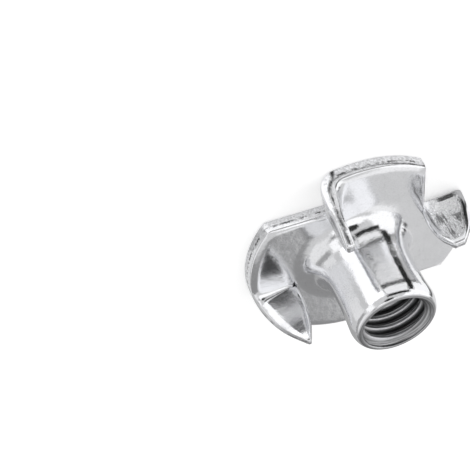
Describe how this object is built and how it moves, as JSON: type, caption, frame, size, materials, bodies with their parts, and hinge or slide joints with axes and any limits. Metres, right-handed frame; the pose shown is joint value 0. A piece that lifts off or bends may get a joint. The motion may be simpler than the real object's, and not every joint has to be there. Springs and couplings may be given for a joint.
{
  "type": "tee nut",
  "caption": "Tee nut of drawn sheet steel: a round flange with corners folded up as claws beside a flared, threaded barrel.",
  "frame": {"origin": "middle of the flange's outer face, on the barrel's axis", "axes": "+Z along the barrel to its mouth; +Y along the first wing of the flange, whose claw stands on its -X side"},
  "size_m": [0.019, 0.019, 0.009],
  "materials": {
    "zinc_plated_steel": "bright zinc plate, smooth on the barrel side and finely grained on the flange's outer face"
  },
  "bodies": {
    "root": {"tee_nut": "zinc_plated_steel"}
  },
  "joints": []
}
